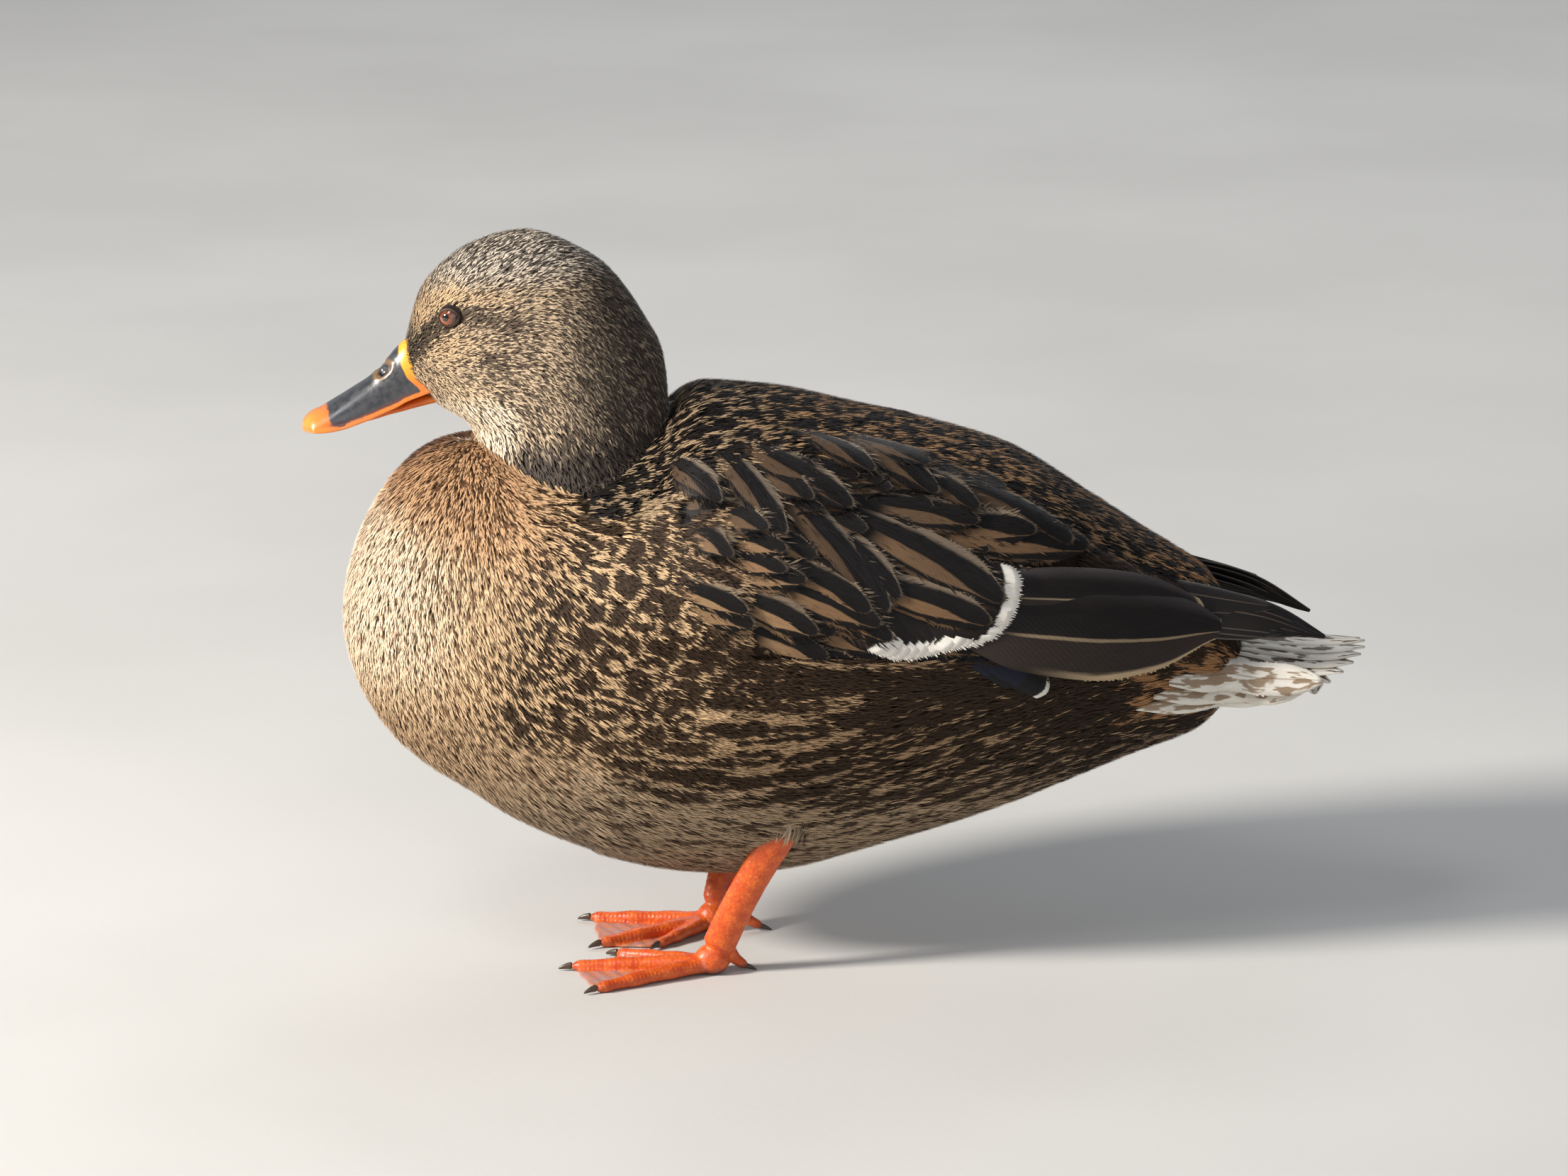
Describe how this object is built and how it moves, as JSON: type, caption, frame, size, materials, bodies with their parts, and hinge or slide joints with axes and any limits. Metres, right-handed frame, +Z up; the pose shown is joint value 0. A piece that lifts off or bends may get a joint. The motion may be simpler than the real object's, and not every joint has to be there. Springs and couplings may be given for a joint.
{
  "type": "female mallard duck model",
  "caption": "Life-size still model of a standing female mallard with its neck drawn in, resting on its two webbed feet.",
  "frame": {"origin": "under the middle of the bounding box, at the level of the soles", "axes": "+Z up; -X is the way the bill points and +X the way the tail points, so the duck's left side is at -Y"},
  "size_m": [0.4206, 0.1566, 0.2973],
  "materials": {
    "body_plumage": "flesh under soft feathers, buff with dark brown spots and streaks",
    "rump_plumage": "feathers, dark brown with buff bars",
    "head_plumage": "fine short feathers, buff streaked dark brown",
    "wing_plumage": "dark brown feathers with buff edges and bars",
    "flight_feathers": "smooth dark brown vanes with a slight sheen",
    "tail_feathers": "smooth whitish vanes with brown marks",
    "bill": "glossy horn, orange with a dark saddle",
    "leg_skin": "bright orange scaly skin, satin",
    "claw": "dark horn, semi-gloss",
    "eye": "wet dark brown eye"
  },
  "bodies": {
    "root": {"trunk": "body_plumage", "rump": "rump_plumage", "neck": "head_plumage", "head": "head_plumage", "bill_upper": "bill", "bill_lower": "bill", "eye_left": "eye", "wing_left": "wing_plumage", "tertials_left": "flight_feathers", "primaries_left": "flight_feathers", "leg_left": "leg_skin", "foot_left": "leg_skin", "hallux_left": "leg_skin", "claw_left_1": "claw", "claw_left_2": "claw", "claw_left_3": "claw", "claw_left_4": "claw", "eye_right": "eye", "wing_right": "wing_plumage", "tertials_right": "flight_feathers", "primaries_right": "flight_feathers", "leg_right": "leg_skin", "foot_right": "leg_skin", "hallux_right": "leg_skin", "claw_right_1": "claw", "claw_right_2": "claw", "claw_right_3": "claw", "claw_right_4": "claw", "tail": "tail_feathers"}
  },
  "joints": []
}
